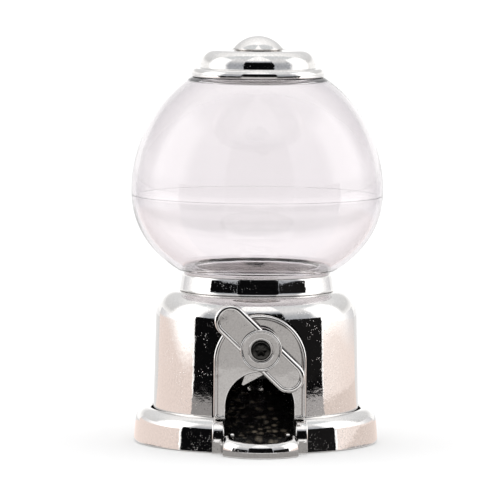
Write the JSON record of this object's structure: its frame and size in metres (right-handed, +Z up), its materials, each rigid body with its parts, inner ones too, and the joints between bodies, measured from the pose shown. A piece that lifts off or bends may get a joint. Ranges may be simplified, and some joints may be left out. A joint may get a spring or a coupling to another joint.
{
  "type": "gumball machine",
  "caption": "Tabletop toy sweet dispenser: clear globe under a lift-off domed lid, on a round plated body whose wing knob turns a vaned wheel that drops sweets into a scoop tray.",
  "frame": {"origin": "centre of the flat underside, where the machine's vertical axis meets the surface it stands on", "axes": "+Z up along the machine's axis; -Y towards the front, where the knob, mouth and tray are; +X to the right seen from the front"},
  "size_m": [0.059, 0.0678, 0.095],
  "materials": {
    "plated_plastic": "bright vacuum-plated mirror finish over moulded plastic",
    "clear_plastic": "clear polished moulded plastic",
    "black_plastic": "glossy black moulded plastic",
    "steel": "zinc-plated steel fastener"
  },
  "bodies": {
    "machine": {"body_shell": "plated_plastic", "collar_ring": "plated_plastic", "foot_ring": "plated_plastic", "base_plate": "black_plastic", "base_screw_1": "steel", "base_screw_2": "steel", "base_screw_3": "steel", "chute_screw_1": "steel", "chute_screw_2": "steel", "front_panel": "plated_plastic", "candy_tray": "plated_plastic", "chute": "black_plastic", "hopper_funnel": "plated_plastic", "wheel_housing": "black_plastic", "globe_upper": "clear_plastic", "globe_lower": "clear_plastic"},
    "lid": {"lid_cap": "plated_plastic", "lid_knob": "plated_plastic", "lid_knob_screw": "steel"},
    "knob_drive": {"wing_knob": "plated_plastic", "knob_screw": "steel", "drive_spindle": "steel", "dispensing_wheel": "plated_plastic"}
  },
  "joints": [
    {"name": "knob_turn", "type": "hinge", "parent": "machine", "child": "knob_drive", "pos_m": [0, 0, 0.0242], "axis": [0, 1, 0], "continuous": true},
    {"name": "lid_lift", "type": "slide", "parent": "machine", "child": "lid", "axis": [0, 0, 1], "range_m": [0, 0.03]}
  ]
}
